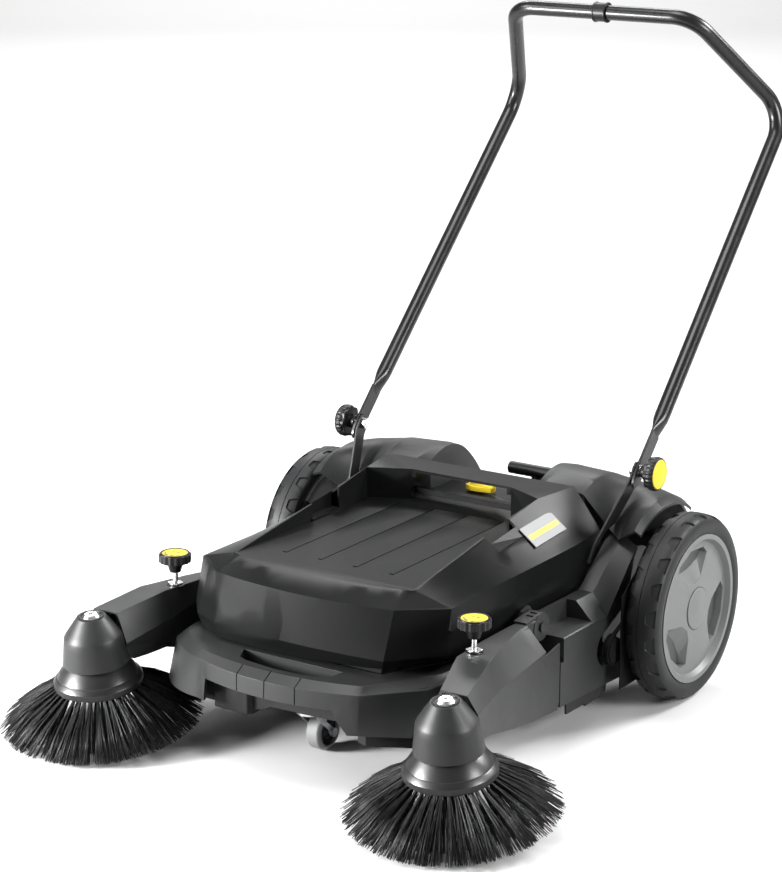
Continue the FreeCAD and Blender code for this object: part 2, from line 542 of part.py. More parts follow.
def handle_bracket():
    """Steel strap from the handle bolt, leaning inwards down to a narrow tab beside the hopper."""
    run = V(0, -78, -114).normalize()
    side = V(0, 114, -78).normalize()

    def at(s, w, x):
        p = V(x, BOLT_Y, BOLT_Z) + run * s + side * w
        return (p.x, p.y, p.z)

    face = [(-10, -11), (-14, -4), (-14, 5), (-8, 12), (0, 13), (86, 13), (106, -1), (138, -7), (165, -7),
            (165, -13), (0, -13)]
    slab = [(-20, 258.4), (16, 258.4), (138, 232.4), (170, 232.4), (170, 235.6), (138, 235.6), (16, 262.4), (-20, 262.4)]
    body = prism([at(s, w, 225) for s, w in face], (40, 0, 0)).common(
        prism([at(s, -30, x) for s, x in slab], side * 60))
    return body.cut(rod(4, (240, BOLT_Y, BOLT_Z), (270, BOLT_Y, BOLT_Z)))


pair("handle_bracket", handle_bracket())
bolt = rod(4, (252, BOLT_Y, BOLT_Z), (296, BOLT_Y, BOLT_Z)).fuse([
    rod(9, (252, BOLT_Y, BOLT_Z), (258.2, BOLT_Y, BOLT_Z)), rod(10, (268.7, BOLT_Y, BOLT_Z), (270.4, BOLT_Y, BOLT_Z))])
pair("handle_bolt", bolt.removeSplitter())
star = round_knob(26, 17, 8, 3.0).fuse(rod(11, (0, 0, -11), (0, 0, 1))).cut([
    rod(21, (0, 0, 15), (0, 0, 18)), rod(4 + RUN, (0, 0, -12), (0, 0, 11))])
star.rotate(V(0, 0, 0), V(0, 1, 0), 90)
star.translate(V(284, BOLT_Y, BOLT_Z))
star = star.cut(rod(4 + RUN, (270, BOLT_Y, BOLT_Z), (296.2, BOLT_Y, BOLT_Z)))
pair("star_knob", star.removeSplitter())
pair("star_knob_cap", rod(20.8, (299, BOLT_Y, BOLT_Z), (302, BOLT_Y, BOLT_Z)))

# ---------------------------------------------------------------- rear adjusting grip
t_grip = rod(10.5, (-52, 128, 284), (52, 128, 284)).fuse([
    rod(9, (0, 128, DECK_Z + 6.5), (0, 128, 284)), rod(6, (0, 128, 205), (0, 128, 284))])
parts["rear_grip"] = t_grip.removeSplitter()

# ---------------------------------------------------------------- caster
caster_wheel_y = CASTER_Y + CASTER_TRAIL
fork = rod(22, (0, CASTER_Y, 69), (0, CASTER_Y, 72)).fuse([
    rod(19, (0, CASTER_Y, 72), (0, CASTER_Y, 76)), rod(6, (0, CASTER_Y, 69), (0, CASTER_Y, 84))])
for sx in (-1, 1):
    x0, x1 = sorted((sx * 15.2, sx * 17.4))
    leg = side_prism([(CASTER_Y - 10, 70), (CASTER_Y + 12, 70), (CASTER_Y + 18, 50), (caster_wheel_y + 5, 34),
                      (caster_wheel_y + 4, 24), (caster_wheel_y - 4, 24), (caster_wheel_y - 7, 34),
                      (CASTER_Y + 2, 54)], x0, x1)
    fork = fork.fuse(leg)
fork = fork.fuse([rod(4, (-21, caster_wheel_y, CASTER_R), (21, caster_wheel_y, CASTER_R)),
                  rod(7, (17, caster_wheel_y, CASTER_R), (22, caster_wheel_y, CASTER_R)),
                  rod(7, (-22, caster_wheel_y, CASTER_R), (-17, caster_wheel_y, CASTER_R))])
parts["caster_fork"] = fork.removeSplitter()
parts["caster_tread"] = revolved_x([(-13, 21.5), (-13, CASTER_R - 4), (-9, CASTER_R), (9, CASTER_R),
                                    (13, CASTER_R - 4), (13, 21.5)], caster_wheel_y, CASTER_R)
parts["caster_hub"] = revolved_x([(-13, 4 + RUN), (-13, 9), (-8, 12), (-8, 21.4), (8, 21.4), (8, 12), (13, 9),
                                  (13, 4 + RUN)], caster_wheel_y, CASTER_R)
mount = rod(24, (0, CASTER_Y, 76.5), (0, CASTER_Y, PAN_Z))
mount = mount.cut(rod(6 + RUN, (0, CASTER_Y, 60), (0, CASTER_Y, 100)))
parts["caster_mount"] = mount

# ---------------------------------------------------------------- rubber skirts
skirt = side_prism([(-264, 66), (-262, 39), (-206, 38), (-204, 34), (-160, 34), (-158, 38), (-140, 37), (-136, 62)],
                   SIDE_OUT - 7, SIDE_OUT - 4)
pair("side_skirt", skirt)
parts["rear_flap"] = box(-205, 205, -26, -23, 4, 62)

# ---------------------------------------------------------------- write the nodes
if __name__ == "__main__":
    os.makedirs("parts", exist_ok=True)
    shapes = list(parts.items())
    for name, shape in shapes:
        shape = shape.copy()
        shape.translate(V(0, AXLE_Y, 0))
        shape.exportStep("parts/" + name + ".step")
        bb = shape.BoundBox
        print("%-18s solids %d valid %s  x %.0f %.0f  y %.0f %.0f  z %.0f %.0f  vol %.0f cm3" % (
            name, len(shape.Solids), shape.isValid(), bb.XMin, bb.XMax, bb.YMin, bb.YMax, bb.ZMin, bb.ZMax,
            shape.Volume / 1000))
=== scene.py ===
"""Looks of the walk-behind sweeper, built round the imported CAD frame.

Blender works in metres, +Z up, front towards -Y. Lengths in the tables below are millimetres, and points are
those of the machine's left half, with y counted from the wheel axle and z from the floor.
"""
import json
import math
import random

import bpy
import bmesh
from mathutils import Matrix, Vector


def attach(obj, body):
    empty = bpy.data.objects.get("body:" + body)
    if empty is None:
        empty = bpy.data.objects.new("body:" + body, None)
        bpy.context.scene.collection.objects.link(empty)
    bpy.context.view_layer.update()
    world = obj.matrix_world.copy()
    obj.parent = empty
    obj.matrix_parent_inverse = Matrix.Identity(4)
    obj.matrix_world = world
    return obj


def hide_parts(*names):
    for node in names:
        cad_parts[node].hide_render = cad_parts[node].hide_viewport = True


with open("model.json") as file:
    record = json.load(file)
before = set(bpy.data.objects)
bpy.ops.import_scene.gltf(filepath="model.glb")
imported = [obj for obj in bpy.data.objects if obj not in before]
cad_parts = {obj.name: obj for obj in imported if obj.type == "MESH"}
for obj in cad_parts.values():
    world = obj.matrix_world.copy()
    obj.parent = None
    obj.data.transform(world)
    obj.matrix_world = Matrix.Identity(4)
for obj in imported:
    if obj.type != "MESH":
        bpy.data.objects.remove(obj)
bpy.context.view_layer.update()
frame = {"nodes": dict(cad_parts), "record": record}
RECORD = frame["record"]
NODES = frame["nodes"]
BODY = {node: body for body, nodes in RECORD["behaviour"]["bodies"].items() for node in nodes}
SLOT = {part["node"]: part["material_slot"] for part in RECORD["subparts"]}
PIVOT = {joint["name"]: joint.get("pos_m") for joint in RECORD["behaviour"]["joints"]}
# The wheel axle: metres along Y, and millimetres above the floor.
AXLE_Y = PIVOT["wheel_spin_L"][1]
AXLE_HEIGHT = 1000 * PIVOT["wheel_spin_L"][2]
SIDES = ((1, "L"), (-1, "R"))
rng = random.Random(7)


# ---------------------------------------------------------------- materials
def new_material(name):
    mat = bpy.data.materials.new(name)
    mat.use_nodes = True
    nt = mat.node_tree
    return mat, nt, nt.nodes["Principled BSDF"]


def noise(nt, scale, detail=3.0, rough=0.55):
    co = nt.nodes.new("ShaderNodeTexCoord")
    tex = nt.nodes.new("ShaderNodeTexNoise")
    tex.inputs["Scale"].default_value = scale
    tex.inputs["Detail"].default_value = detail
    tex.inputs["Roughness"].default_value = rough
    nt.links.new(co.outputs["Object"], tex.inputs["Vector"])
    return tex.outputs["Fac"]


def spread_over(nt, source, low, high):
    """The middle of a noise spread over a range of values."""
    node = nt.nodes.new("ShaderNodeMapRange")
    node.inputs["From Min"].default_value = 0.35
    node.inputs["From Max"].default_value = 0.65
    node.inputs["To Min"].default_value = low
    node.inputs["To Max"].default_value = high
    nt.links.new(source, node.inputs["Value"])
    return node.outputs["Result"]


def tint(nt, source, dark, light):
    node = nt.nodes.new("ShaderNodeMix")
    node.data_type = "RGBA"
    node.inputs[6].default_value = (*dark, 1)
    node.inputs[7].default_value = (*light, 1)
    nt.links.new(source, node.inputs[0])
    return node.outputs[2]


def bump(nt, bsdf, source, strength, distance):
    node = nt.nodes.new("ShaderNodeBump")
    node.inputs["Strength"].default_value = strength
    node.inputs["Distance"].default_value = distance
    nt.links.new(source, node.inputs["Height"])
    nt.links.new(node.outputs["Normal"], bsdf.inputs["Normal"])


def plastic(name, dark, light, rough, uneven=0.06, spec=0.5, clouds=6.0, grain=900, depth=0.00012,
            strength=0.35):
    """Moulded plastic, rubber or paint: fine grain, faint cloudy tone and a slightly uneven sheen."""
    mat, nt, bsdf = new_material(name)
    cloud = spread_over(nt, noise(nt, clouds, 4.0), 0, 1)
    nt.links.new(tint(nt, cloud, dark, light), bsdf.inputs["Base Color"])
    sheen = spread_over(nt, noise(nt, 22.0, 2.0), rough - uneven / 2, rough + uneven / 2)
    nt.links.new(sheen, bsdf.inputs["Roughness"])
    if depth:
        bump(nt, bsdf, noise(nt, grain, 2.0, 0.7), strength, depth)
    bsdf.inputs["Specular IOR Level"].default_value = spec
    return mat


def metal(name, dark, light, rough):
    mat, nt, bsdf = new_material(name)
    brushed = noise(nt, 120.0)
    nt.links.new(tint(nt, spread_over(nt, brushed, 0, 1), dark, light), bsdf.inputs["Base Color"])
    nt.links.new(spread_over(nt, brushed, rough - 0.05, rough + 0.07), bsdf.inputs["Roughness"])
    bsdf.inputs["Metallic"].default_value = 1.0
    return mat


# Surface grains: coarse rubber, fine paint, hard smooth mouldings.
RUBBER = dict(uneven=0.08, grain=500, depth=0.0001)
PAINT = dict(uneven=0.06, grain=1600, depth=0.00005, strength=0.25)
RIM = dict(uneven=0.05, grain=1100, depth=0.00008, strength=0.2)

PLASTICS = {
    "body_plastic": dict(
        dark=(0.010, 0.0102, 0.0105), light=(0.013, 0.0132, 0.0135), rough=0.44, uneven=0.03, spec=0.26),
    "hopper_plastic": dict(
        dark=(0.0035, 0.0036, 0.0037), light=(0.0045, 0.0046, 0.0047), rough=0.32, uneven=0.02, spec=0.07),
    "black_plastic": dict(
        dark=(0.003, 0.003, 0.0032), light=(0.005, 0.005, 0.0053), rough=0.38, spec=0.22),
    "disc_black": dict(
        dark=(0.005, 0.005, 0.0052), light=(0.008, 0.008, 0.0083), rough=0.34, spec=0.40),
    "bristle": dict(
        dark=(0.001, 0.001, 0.001), light=(0.014, 0.014, 0.0145), rough=0.38, uneven=0.1, spec=0.16,
        clouds=160, depth=0),
    "tyre_rubber": dict(
        dark=(0.006, 0.0062, 0.0066), light=(0.010, 0.0103, 0.0108), rough=0.50, uneven=0.08, spec=0.22,
        grain=700, depth=0.00015, strength=0.3),
    "belt_rubber": dict(
        dark=(0.004, 0.004, 0.004), light=(0.006, 0.006, 0.006), rough=0.60, spec=0.3, **RUBBER),
    "grey_rubber": dict(
        dark=(0.115, 0.116, 0.117), light=(0.135, 0.136, 0.137), rough=0.60, **RUBBER),
    "rim_grey": dict(
        dark=(0.072, 0.073, 0.074), light=(0.082, 0.083, 0.084), rough=0.42, **RIM),
    # Painted shade: the rim's grey darkened for the recessed floors of its windows.
    "rim_painted_shade": dict(
        dark=(0.019, 0.0192, 0.0195), light=(0.023, 0.0232, 0.0235), rough=0.48, **RIM),
    "yellow_plastic": dict(
        dark=(0.40, 0.295, 0.004), light=(0.44, 0.33, 0.007), rough=0.44, uneven=0.04, spec=0.3,
        depth=0.00005, strength=0.15),
    "plate_white": dict(
        dark=(0.20, 0.202, 0.204), light=(0.22, 0.222, 0.224), rough=0.55, uneven=0.04, spec=0.1, depth=0),
    "black_tube": dict(
        dark=(0.003, 0.003, 0.003), light=(0.005, 0.005, 0.005), rough=0.28, spec=0.34, **PAINT),
    "black_steel": dict(
        dark=(0.005, 0.005, 0.0055), light=(0.008, 0.008, 0.0085), rough=0.34, spec=0.36, **PAINT),
    # Painted shade: a dead black for sheets and parts that stand where there is only shade.
    "painted_shade_black": dict(
        dark=(0.002, 0.002, 0.002), light=(0.004, 0.004, 0.004), rough=0.7, spec=0.08, depth=0),
    "print_black": dict(
        dark=(0.012, 0.012, 0.012), light=(0.016, 0.016, 0.016), rough=0.4, uneven=0.04, depth=0),
}
MAT = {name: plastic(name, **look) for name, look in PLASTICS.items()}
MAT["steel"] = metal("steel", (0.55, 0.55, 0.56), (0.70, 0.70, 0.71), 0.26)
MAT["zinc_steel"] = metal("zinc_steel", (0.48, 0.49, 0.50), (0.62, 0.63, 0.64), 0.34)


# ---------------------------------------------------------------- places
def at(side, x, y, z):
    """A point of the left half, in millimetres, mirrored to the right half where side is -1."""
    return Vector((side * x / 1000, AXLE_Y + y / 1000, z / 1000))


def cross_axle(side, pivot):
    """Space of an axle across the machine: local Z points outwards from the middle."""
    return Matrix.Translation((0, *PIVOT[pivot][1:])) @ Matrix.Rotation(side * math.pi / 2, 4, "Y")


def upright(pivot, height):
    """Space of an upright spindle, with its origin at a height in millimetres."""
    return Matrix.Translation((*PIVOT[pivot][:2], height / 1000))


# ---------------------------------------------------------------- mesh helpers
EDGE_ANGLE = 0.5


def to_scene(obj):
    bpy.context.scene.collection.objects.link(obj)
    return obj


def smooth(obj, angle):
    """Smooth shading, with a crease wherever two faces meet at more than an angle in radians."""
    me = obj.data
    for p in me.polygons:
        p.use_smooth = True
    bm = bmesh.new()
    bm.from_mesh(me)
    for e in bm.edges:
        e.smooth = len(e.link_faces) == 2 and e.calc_face_angle(0) <= angle
    bm.to_mesh(me)
    bm.free()


def soften(obj, width):
    """Round the edges that are sharper than EDGE_ANGLE."""
    mod = obj.modifiers.new("edge", "BEVEL")
    mod.width = width
    mod.segments = 3
    mod.limit_method = "ANGLE"
    mod.angle_limit = EDGE_ANGLE
    mod.miter_outer = "MITER_ARC"


def piece(name, body, slot, verts, faces, mat=None, replaces=(), angle=0.55, bevel=0.0):
    """A shown piece on a CAD body. `mat` is its look where that isn't its slot's; `bevel` is in metres."""
    me = bpy.data.meshes.new(name)
    me.from_pydata([tuple(v) for v in verts], [], faces)
    me.validate()
    me.update()
    obj = to_scene(bpy.data.objects.new(name, me))
    me.materials.append(MAT[mat or slot])
    smooth(obj, angle)
    if bevel:
        soften(obj, bevel)
    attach(obj, body)
    if replaces:
        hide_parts(*replaces)


def prism(low, high, flip):
    """Corners and faces of the closed solid between two rings; `flip` turns its faces the other way out."""
    n = len(low)
    faces = [tuple(range(n))[::-1], tuple(range(n, 2 * n))]
    faces += [(k, (k + 1) % n, (k + 1) % n + n, k + n) for k in range(n)]
    return [*low, *high], [f[::-1] for f in faces] if flip else faces


def plate(name, body, slot, outline, place, thick, mat=None, bevel=0.0):
    """Flat plate of an (x, y) outline in the local XY plane of `place`."""
    low, high = ([place @ Vector((x / 1000, y / 1000, z / 1000)) for x, y in outline] for z in (0, thick))
    piece(name, body, slot, *prism(low, high, False), mat=mat, bevel=bevel)


def box_outline(x0, y0, x1, y1):
    return [(x0, y0), (x1, y0), (x1, y1), (x0, y1)]


def lathe(name, body, slot, rows, place, n=96, mat=None, replaces=(), angle=0.45, lobes=0, grip_r=1e3):
    """Surface of revolution about the local Z of `place`; rows are (radius, height).

    Rows wider than grip_r carry a number of shallow finger lobes.
    """
    verts, faces = [], []
    for full, z in rows:
        for k in range(n):
            a = 2 * math.pi * k / n
            r = full - (0.6 - 0.6 * math.cos(lobes * a) if full > grip_r else 0)
            verts.append(place @ Vector((r / 1000 * math.cos(a), r / 1000 * math.sin(a), z / 1000)))
    for i in range(len(rows) - 1):
        for k in range(n):
            m = (k + 1) % n
            faces.append((i * n + k, i * n + m, (i + 1) * n + m, (i + 1) * n + k))
    if rows[0][0] > 0.01:
        faces.append(tuple(range(n))[::-1])
    if rows[-1][0] > 0.01:
        faces.append(tuple(range((len(rows) - 1) * n, len(rows) * n)))
    piece(name, body, slot, verts, faces, mat=mat, replaces=replaces, angle=angle)


# ---------------------------------------------------------------- CAD nodes
# Nodes whose look isn't their slot's: what lies in the dark under the machine gets painted shade, a dead
# black, and the black pins get black steel.
UNDERSIDE = ("drive_belt", "drive_pulley", "roller_core", "roller_housing", "rear_flap")
OTHER_LOOK = dict.fromkeys(UNDERSIDE, "painted_shade_black")
OTHER_LOOK.update(dict.fromkeys(("arm_pin_L", "arm_pin_R"), "black_steel"))

# Edge radius of each moulding or fitting that is shown with softened edges.
EDGES = {
    "bumper": 3.5, "chin": 1.5, "side_frame": 3.0, "fender": 1.5, "hopper_cover": 2.0, "side_arm": 2.2,
    "rear_deck": 1.5, "handle_bracket": 0.8, "rim": 1.5, "handle_sleeve": 0.8, "rear_grip": 2.5,
    "latch_knob": 1.5, "caster_fork": 0.6, "caster_tread": 1.5, "caster_hub": 0.8, "belly_pan": 1.0,
    "star_knob": 1.0, "arm_knob": 1.0,
}

# The hopper's window is cut taller, under a slim carrying beam: two opposite corners.
WINDOW = at(1, -86, -130, 316.5), at(1, 86, -45, 327)


def carve(obj, low, high):
    """Cut the box between two corners out of a piece."""
    me = bpy.data.meshes.new("cutter")
    bm = bmesh.new()
    bmesh.ops.create_cube(bm, size=1.0)
    for v in bm.verts:
        v.co = [low[i] + (v.co[i] + 0.5) * (high[i] - low[i]) for i in range(3)]
    bm.to_mesh(me)
    bm.free()
    cutter = to_scene(bpy.data.objects.new("cutter", me))
    cut = obj.modifiers.new("cut", "BOOLEAN")
    cut.operation = "DIFFERENCE"
    cut.solver = "EXACT"
    cut.object = cutter
    bpy.context.view_layer.update()
    result = obj.evaluated_get(bpy.context.evaluated_depsgraph_get())
    obj.data = bpy.data.meshes.new_from_object(result)
    obj.modifiers.remove(cut)
    bpy.data.objects.remove(cutter)


def skin(node, width):
    """A copy of a CAD node's own mesh with softened edges, shown in its place."""
    me = NODES[node].data.copy()
    bm = bmesh.new()
    bm.from_mesh(me)
    bmesh.ops.remove_doubles(bm, verts=bm.verts, dist=2e-6)
    bmesh.ops.dissolve_limit(bm, angle_limit=0.004, verts=bm.verts, edges=bm.edges)
    bm.to_mesh(me)
    bm.free()
    obj = to_scene(bpy.data.objects.new(node + ".skin", me))
    if node == "hopper_cover":
        carve(obj, *WINDOW)
    smooth(obj, EDGE_ANGLE)
    soften(obj, width)
    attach(obj, BODY[node])
    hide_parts(node)


for node, obj in NODES.items():
    obj.data.materials.clear()
    obj.data.materials.append(MAT[OTHER_LOOK.get(node, SLOT[node])])

for base, width in EDGES.items():
    for node in (base, base + "_L", base + "_R"):
        if node in NODES:
            skin(node, width / 1000)


# ---------------------------------------------------------------- drive wheels
TYRE_FACE = 374
TYRE_WIDTH = 56
POCKETS = 21

# Tyre section from the outer bead to the tread: (distance in from the outer face, radius, pocket depth).
SHOULDER = [(6.5, 119.2, 0), (2.4, 120.4, 0), (0.6, 124.5, 0), (0, 130, 0), (0.3, 136, 0), (1.6, 141.2, 0),
            (3.4, 143.9, 0), (4.0, 144.5, 3.4), (7, 146.9, 3.6), (12, 148.9, 3.2), (17.6, 149.6, 2.4),
            (18.2, 149.7, 0)]
CROWN = [(24, 150, 0), (30.2, 150, 0), (30.6, 149.0, 0), (31.4, 149.0, 0), (31.8, 150, 0)]


def tyre(side, tag):
    """Tread with a ring of trapezoid pockets on each shoulder, the two rings half a pitch apart."""
    rows = SHOULDER + CROWN + [(TYRE_WIDTH - t, r, deep) for t, r, deep in reversed(SHOULDER)]
    pitch = 360 / POCKETS
    verts, faces = [], []
    for t, r, deep in rows:
        slope = min(abs(t - 18), abs(t - 38)) / 14 if t < 18 or t > 38 else 0
        half = 2.6 + 2.7 * min(slope, 1.0)
        turn = pitch / 2 * min(max((t - 22) / 8, 0), 1)
        # Degrees from each pocket's middle: the rib, then the wall, the floor and the wall again.
        stops = (-8.0, -6.8, -half - 0.35, -half, -half / 2, 0, half / 2, half, half + 0.35, 6.8)
        for k in range(POCKETS):
            for off in stops:
                a = math.radians(pitch * k + turn + off)
                rr = r - 0.5 - (deep if abs(off) <= half else 0)
                verts.append(at(side, TYRE_FACE - t, rr * math.cos(a), AXLE_HEIGHT + rr * math.sin(a)))
    cols = POCKETS * len(stops)
    for i in range(len(rows)):
        n = (i + 1) % len(rows)
        for j in range(cols):
            m = (j + 1) % cols
            f = (i * cols + j, i * cols + m, n * cols + m, n * cols + j)
            faces.append(f if side > 0 else f[::-1])
    piece("tread." + tag, "wheel_" + tag, "tyre_rubber", verts, faces, replaces=["tyre_" + tag], angle=0.6)


def window_shade(side, tag, k):
    """Painted shade: a dark sheet on one rim window's floor, just in front of the pocket's own floor,
    darkening the recess.
    """
    turn = Matrix.Rotation(math.radians(10 + 120 * k), 2)
    line = [(-33, 71), (0, 67), (33, 71), (45, 79), (37, 88), (0, 96), (-37, 88), (-45, 79)]
    ring = [turn @ Vector(point) for point in line]
    low, high = ([at(side, x, y, AXLE_HEIGHT + z) for y, z in ring] for x in (355.8, 356.3))
    piece("window_shade." + tag + str(k), "wheel_" + tag, "rim_grey", *prism(low, high, side < 0),
          mat="rim_painted_shade")


def hub(side, tag):
    """Hub cap with a thin dark seam round it."""
    space = cross_axle(side, "wheel_spin_" + tag)
    body = "wheel_" + tag
    lathe("hub_seam." + tag, body, "rim_grey", [(34.6, 369.0), (34.6, 370.4), (31.5, 370.4)], space,
          mat="black_plastic")
    lathe("hub_cap." + tag, body, "rim_grey",
          [(33.6, 369.0), (33.6, 370.8), (32.6, 371.5), (18, 372.6), (0.0, 373.0)], space)


for side, tag in SIDES:
    tyre(side, tag)
    hub(side, tag)
    for k in range(3):
        window_shade(side, tag, k)


# ---------------------------------------------------------------- painted shade on the chassis, and webs on the arms
def arch_shade(side, tag):
    """Painted shade: a thin dark sheet between a side frame and its wheel, where the gap lies in shadow."""
    line = [(-150, 50), (-62, 50), (-62, 214), (-96, 236), (-150, 200)]
    low, high = ([at(side, x, y, z) for y, z in line] for x in (315.0, 316.4))
    piece("arch_shade." + tag, "chassis", "black_plastic", *prism(low, high, side < 0), mat="painted_shade_black")


def chin_shade():
    """Painted shade: a dark sheet behind the gap between the bumper's foot and the chin block."""
    front = Matrix.Translation(at(1, 0, -579, 0)) @ Matrix.Rotation(math.pi / 2, 4, "X")
    plate("chin_shade", "chassis", "black_plastic", box_outline(-195, 74, -127, 126), front, 3,
          mat="painted_shade_black")


def arm_web(side, tag):
    """Lower edge of the arm's inner wall beside the brush head, with a small hook at its rear end."""
    line = [(-619, 126), (-606, 120.5), (-580, 121.5), (-562, 123), (-548, 124.5), (-546, 128), (-560, 132),
            (-563, 138), (-548, 142), (-538, 150), (-545, 164), (-619, 164)]
    # The wall leans outwards towards the front: x is 256.4 at y -540 and grows by 22 over 85.
    low, high = ([at(side, x + (-540 - y) * 22 / 85, y, z) for y, z in line] for x in (256.4, 259.4))
    piece("arm_web." + tag, "arm_" + tag, "body_plastic", *prism(low, high, side > 0), bevel=0.0006)


for side, tag in SIDES:
    arch_shade(side, tag)
chin_shade()
for side, tag in SIDES:
    arm_web(side, tag)


# ---------------------------------------------------------------- side brushes
BRUSH_LEAN = math.radians(7)
TUFTS = 42
LOWEST_TIP = -0.0728

# Two rings of tufts: (ring radius, share of a pitch it is turned by, strands in a tuft, shortest and longest
# reach of a tip), metres.
TUFT_RINGS = ((0.0650, 0, 40, 0.130, 0.1575), (0.0575, 0.5, 18, 0.100, 0.124))


def brush_space(tag):
    """Local Z is the brush's leaning axis."""
    return Matrix.Translation(PIVOT["brush_spin_" + tag]) @ Matrix.Rotation(BRUSH_LEAN, 4, "X")


def strand(verts, faces, points):
    """A thin three-sided strand through a few points, a little thinner at its tip."""
    root_r, tip_r = 0.00068, 0.00055
    first = len(verts)
    last = len(points) - 1
    for k, p in enumerate(points):
        t = (points[min(k + 1, last)] - points[max(k - 1, 0)]).normalized()
        a = t.orthogonal().normalized()
        b = t.cross(a)
        r = root_r + (tip_r - root_r) * k / last
        for j in range(3):
            w = 2 * math.pi * j / 3
            verts.append(p + (a * math.cos(w) + b * math.sin(w)) * r)
    for k in range(last):
        for j in range(3):
            i, n = first + 3 * k + j, first + 3 * k + (j + 1) % 3
            faces.append((i, n, n + 3, i + 3))
    end = first + 3 * last
    faces.append((end, end + 1, end + 2))


def bristles(tag):
    """Tufts of separate strands that fan out from the disc. The brush leans, so its front meets the floor."""
    space = brush_space(tag)
    verts, faces = [], []
    for ring, shift, count, low, high in TUFT_RINGS:
        for k in range(TUFTS):
            base = 2 * math.pi * (k + shift) / TUFTS + rng.gauss(0, 0.012)
            lean = rng.gauss(0, 0.02)
            for _ in range(count):
                u = rng.random()
                v = rng.uniform(-1, 1)
                reach = low + (high - low) * u + rng.gauss(0, 0.0012)
                drop = -0.0722 + 0.0085 * max(u - 0.55, 0) / 0.45 + rng.gauss(0, 0.0007)
                root_a = base + v * 0.020 + rng.gauss(0, 0.005)
                tip_a = base + lean + v * 0.078 + rng.gauss(0, 0.012)
                mid_a = root_a + (tip_a - root_a) * 0.62
                root_r = ring + (u - 0.5) * 0.004
                mid_r = root_r + (reach - root_r) * 0.55
                root_z = -0.0075
                mid_z = root_z + (drop - root_z) * (0.53 - 0.05 * u)
                tip_z = max(drop, LOWEST_TIP)
                line = ((root_r, root_a, root_z), (mid_r, mid_a, mid_z), (reach, tip_a, tip_z))
                points = [Vector((r * math.cos(a), r * math.sin(a), z)) for r, a, z in line]
                strand(verts, faces, [space @ p for p in points])
    piece("bristles." + tag, "side_brush_" + tag, "bristle", verts, faces, replaces=["brush_bristles_" + tag],
          angle=2.5)


def brush_head(tag):
    """Ribbed disc with a groove, and the shallow ring round the cap screw on the arm's nose."""
    space = brush_space(tag)
    lathe("disc." + tag, "side_brush_" + tag, "black_plastic",
          [(14, -12), (14, 12), (42, 12), (47, 27.4), (56, 18), (61.4, 9.2), (61.6, 8.0), (62.6, 7.0),
           (63.0, 7.4), (66.8, 3.2), (68, 1.2), (68, -7.6), (66, -9.5), (60, -12), (56, -3), (42, 8),
           (14, -12)],
          space, mat="disc_black", replaces=["brush_disc_" + tag], angle=0.3)
    lathe("screw_ring." + tag, "arm_" + tag, "body_plastic",
          [(19.6, 102.6), (19.6, 104.2), (18.2, 104.8), (16.6, 104.4), (16.0, 102.8)], space, 64)


for side, tag in SIDES:
    bristles(tag)
    brush_head(tag)


# ---------------------------------------------------------------- height knobs
CAP_TOP = 263
ARM_TOP = 210.5
ARROW_R = 15
MARK_THICK = 0.35


def arc_band(r0, r1, a0, a1, steps=14):
    """Outline of a flat arc between two radii, from one angle to another in degrees."""
    sweep = [math.radians(a0 + (a1 - a0) * k / steps) for k in range(steps + 1)]
    outer = [(r1 * math.cos(a), r1 * math.sin(a)) for a in sweep]
    return outer + [(r0 * math.cos(a), r0 * math.sin(a)) for a in reversed(sweep)]


def print_mark(name, tag, outline, thick=MARK_THICK):
    """Thin black mark on top of the cap."""
    top = upright("height_turn_" + tag, CAP_TOP)
    plate(name + "." + tag, "height_knob_" + tag, "black_plastic", outline, top, thick, mat="print_black")


def turn_arrow(tag, start, way):
    """Curved arrow round the cap, from a start in degrees; way is 1 anticlockwise and -1 clockwise."""
    band = arc_band(ARROW_R - 0.6, ARROW_R + 0.6, start, start + way * 46)
    print_mark("arc", tag, band if way > 0 else band[::-1])
    a = math.radians(start + way * 52)
    out = Vector((math.cos(a), math.sin(a)))
    ahead = Vector((-math.sin(a), math.cos(a))) * way
    heel = out * ARROW_R - ahead * 1.6
    print_mark("arrow", tag, [out * ARROW_R + ahead * 3.6, heel + out * 2.4 * way, heel - out * 2.4 * way])


def height_knob(tag):
    """Neck and rim of the knob, with two turning arrows, a minus and a plus on its cap."""
    body = "height_knob_" + tag
    top = upright("height_turn_" + tag, CAP_TOP)
    lathe("knob_hub." + tag, body, "black_plastic",
          [(17.5, -14.2), (12, -18), (9.6, -27), (8.6, -30), (4.2, -30)], top, 48)
    lathe("knob_rim." + tag, body, "black_plastic",
          [(20.2, -1.5), (20.2, 0.7), (21.2, 1.1), (22.4, 0.6), (23.0, -0.6)], top)
    turn_arrow(tag, 200, 1)
    turn_arrow(tag, 340, -1)
    print_mark("minus", tag, box_outline(-6, 3, -2, 4.2))
    print_mark("plus_a", tag, box_outline(2, 3, 6.4, 4.2))
    print_mark("plus_b", tag, box_outline(3.6, 1.4, 4.8, 5.8), 0.36)


def stem_seat(tag):
    """Dark seat where the stem enters the arm, and the stem's two small steel ears."""
    seat = upright("height_turn_" + tag, ARM_TOP)
    lathe("stem_seat." + tag, "arm_" + tag, "black_plastic",
          [(13.5, 0), (13.5, 1.4), (12.4, 1.9), (4.6, 1.9)], seat, 48)
    for turn in (25, 205):
        ear = seat @ Matrix.Rotation(math.radians(turn), 4, "Z") @ Matrix.Translation((0, 0, 0.0042))
        plate("ear." + tag, "height_knob_" + tag, "steel",
              [(4, -3), (10.5, -2.4), (12.5, 0), (10.5, 2.4), (4, 3)], ear, 1.2, bevel=0.0004)


for side, tag in SIDES:
    height_knob(tag)
    stem_seat(tag)


